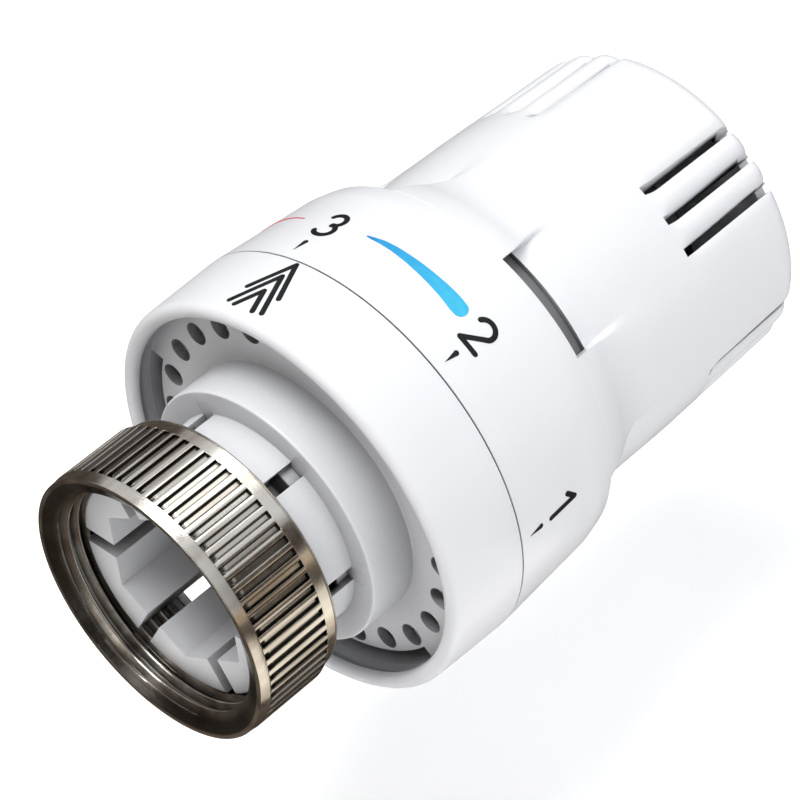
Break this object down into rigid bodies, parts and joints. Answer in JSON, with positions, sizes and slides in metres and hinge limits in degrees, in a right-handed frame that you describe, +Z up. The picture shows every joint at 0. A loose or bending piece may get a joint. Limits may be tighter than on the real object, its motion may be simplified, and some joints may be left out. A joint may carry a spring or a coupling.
{
  "type": "thermostatic radiator valve head",
  "caption": "Thermostatic radiator valve head: knurled union nut, slotted collar, round base housing and a numbered hand wheel with a fluted grip over a sprung liquid sensor.",
  "frame": {"origin": "centre of the union nut's mouth, on the head's axis", "axes": "+X along the head's axis from the nut's mouth to the tip of the hand wheel; +Z up through the setting arrow"},
  "size_m": [0.0868, 0.0516, 0.0517],
  "materials": {
    "white_housing": "gloss moulded white plastic",
    "white_knob": "gloss moulded white plastic",
    "inner_plastic": "glass-filled grey-white plastic",
    "plunger_plastic": "dark plastic",
    "nickel_plate": "nickel-plated brass, bright",
    "spring_steel": "spring steel",
    "sensor_brass": "brass",
    "sensor_aluminium": "drawn aluminium",
    "copper_tube": "copper capillary stub",
    "print_black": "pad print",
    "print_blue": "pad print",
    "print_red": "pad print"
  },
  "bodies": {
    "base": {"base_housing": "white_housing", "guide_sleeve": "inner_plastic", "knob_retaining_ring": "spring_steel", "housing_arrows": "print_black"},
    "nut_ring": {"nut_snap_ring": "spring_steel"},
    "nut": {"union_nut": "nickel_plate"},
    "hand_wheel": {"knob_shell": "white_knob", "end_cap": "white_knob", "drive_sleeve": "inner_plastic", "dial_numerals": "print_black", "dial_ticks": "print_black", "dial_cold_wedge": "print_blue", "dial_warm_wedge": "print_red"},
    "carrier": {"sensor_carrier": "inner_plastic", "overtravel_spring": "spring_steel", "spring_retainer": "spring_steel", "retainer_circlip": "spring_steel"},
    "sensor": {"sensor_head": "sensor_brass", "sensor_can": "sensor_aluminium", "sensor_bellows": "sensor_brass", "return_spring": "spring_steel", "fill_tube": "copper_tube"},
    "push_pin": {"push_rod": "spring_steel", "bellows_plate": "sensor_brass", "pressure_piece": "plunger_plastic"}
  },
  "joints": [
    {"name": "nut_slide", "type": "slide", "parent": "base", "child": "nut_ring", "axis": [1, 0, 0], "range_m": [-0.0012, 0.0056]},
    {"name": "nut_spin", "type": "hinge", "parent": "nut_ring", "child": "nut", "pos_m": [0.0098, 0, 0], "axis": [1, 0, 0], "continuous": true},
    {"name": "wheel_turn", "type": "hinge", "parent": "base", "child": "hand_wheel", "pos_m": [0.05, 0, 0], "axis": [1, 0, 0], "range_deg": [-199.8, 108.7]},
    {"name": "carrier_slide", "type": "slide", "parent": "base", "child": "carrier", "axis": [1, 0, 0], "range_m": [-0.0028, 0.00152]},
    {"name": "sensor_overtravel", "type": "slide", "parent": "carrier", "child": "sensor", "axis": [1, 0, 0], "range_m": [0, 0.003], "stiffness_N_per_m": 5000, "springref_m": -0.0048, "deforming": ["overtravel_spring"]},
    {"name": "pin_stroke", "type": "slide", "parent": "sensor", "child": "push_pin", "axis": [1, 0, 0], "range_m": [-0.0015, 0.001], "stiffness_N_per_m": 3000, "deforming": ["sensor_bellows", "return_spring"]}
  ],
  "couplings": [
    {"joint": "carrier_slide", "follows": "wheel_turn", "m_per_rad": 0.00079577}
  ]
}
